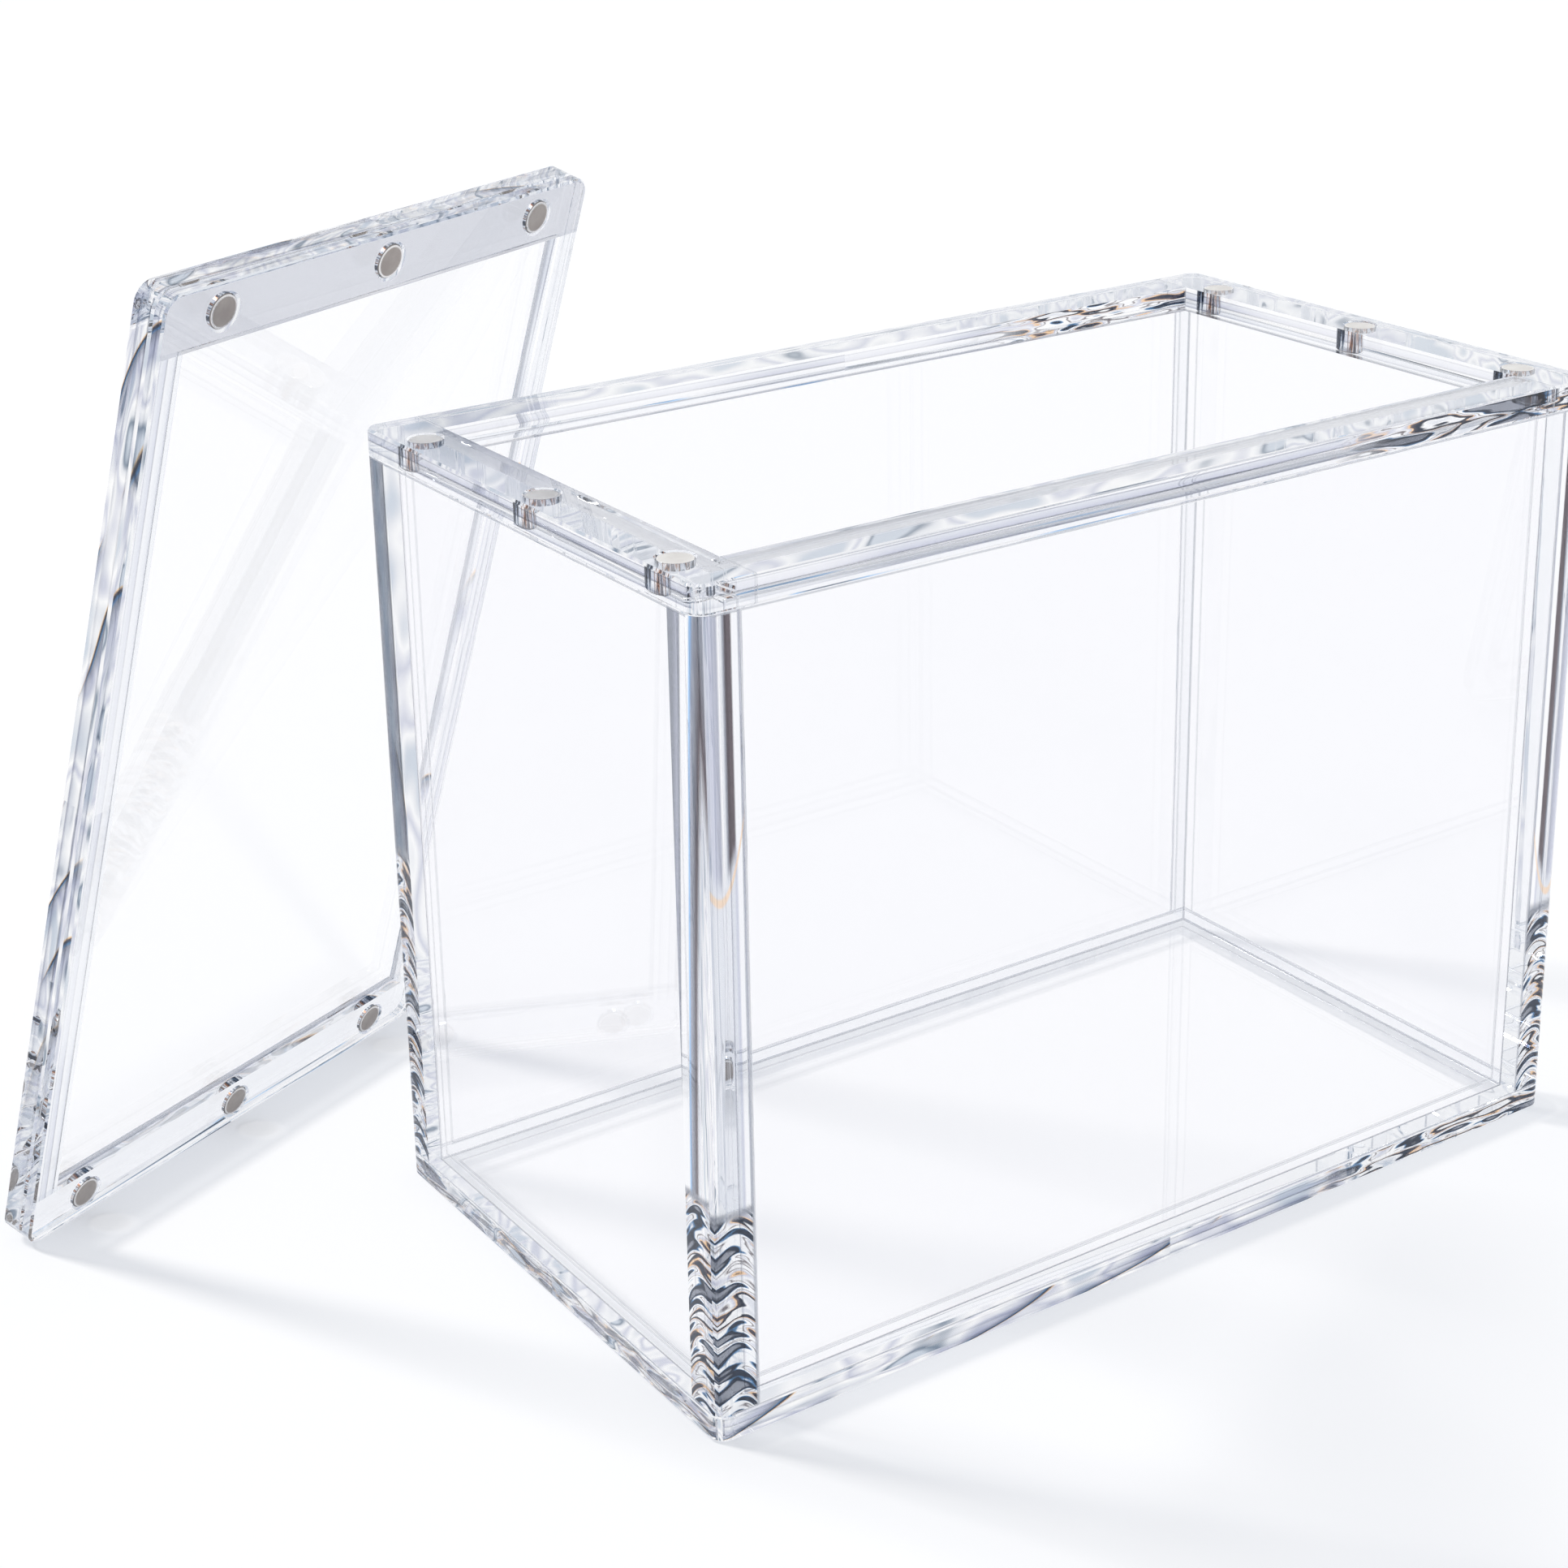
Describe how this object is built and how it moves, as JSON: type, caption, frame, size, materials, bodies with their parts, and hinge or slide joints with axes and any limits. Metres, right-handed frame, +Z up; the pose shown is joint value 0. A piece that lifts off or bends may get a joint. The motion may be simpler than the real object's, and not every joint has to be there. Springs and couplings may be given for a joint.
{
  "type": "trading card display case",
  "caption": "Clear acrylic box on a base with a rim of bonded strips, disc magnets in its corners and ends, and a separate matching lid that leans against one corner.",
  "frame": {"origin": "centre of the case's footprint, on the floor under the base panel", "axes": "+Z up, +X along the case's long walls towards the right end, -Y out of the long front wall; the lid leans on the back left corner"},
  "size_m": [0.2695, 0.1745, 0.1892],
  "materials": {
    "clear_acrylic": "clear cast acrylic sheet, polished edges",
    "rim_acrylic": "clear acrylic strip, polished and bevelled edges",
    "magnet_nickel": "nickel plated, lightly scuffed faces"
  },
  "bodies": {
    "case": {"base_panel": "clear_acrylic", "front_panel": "clear_acrylic", "back_panel": "clear_acrylic", "left_panel": "clear_acrylic", "right_panel": "clear_acrylic", "left_rim_bar": "rim_acrylic", "right_rim_bar": "rim_acrylic", "front_rim_rail": "rim_acrylic", "back_rim_rail": "rim_acrylic", "left_front_magnet": "magnet_nickel", "left_middle_magnet": "magnet_nickel", "left_back_magnet": "magnet_nickel", "right_front_magnet": "magnet_nickel", "right_middle_magnet": "magnet_nickel", "right_back_magnet": "magnet_nickel"},
    "lid": {"lid_plate": "clear_acrylic", "lid_left_bar": "rim_acrylic", "lid_right_bar": "rim_acrylic", "lid_front_rail": "rim_acrylic", "lid_back_rail": "rim_acrylic", "lid_left_front_magnet": "magnet_nickel", "lid_left_middle_magnet": "magnet_nickel", "lid_left_back_magnet": "magnet_nickel", "lid_right_front_magnet": "magnet_nickel", "lid_right_middle_magnet": "magnet_nickel", "lid_right_back_magnet": "magnet_nickel"}
  },
  "joints": [
    {"name": "lid_lift", "type": "slide", "parent": "case", "child": "lid", "axis": [0, 0, 1], "range_m": [0, 0.16]}
  ]
}
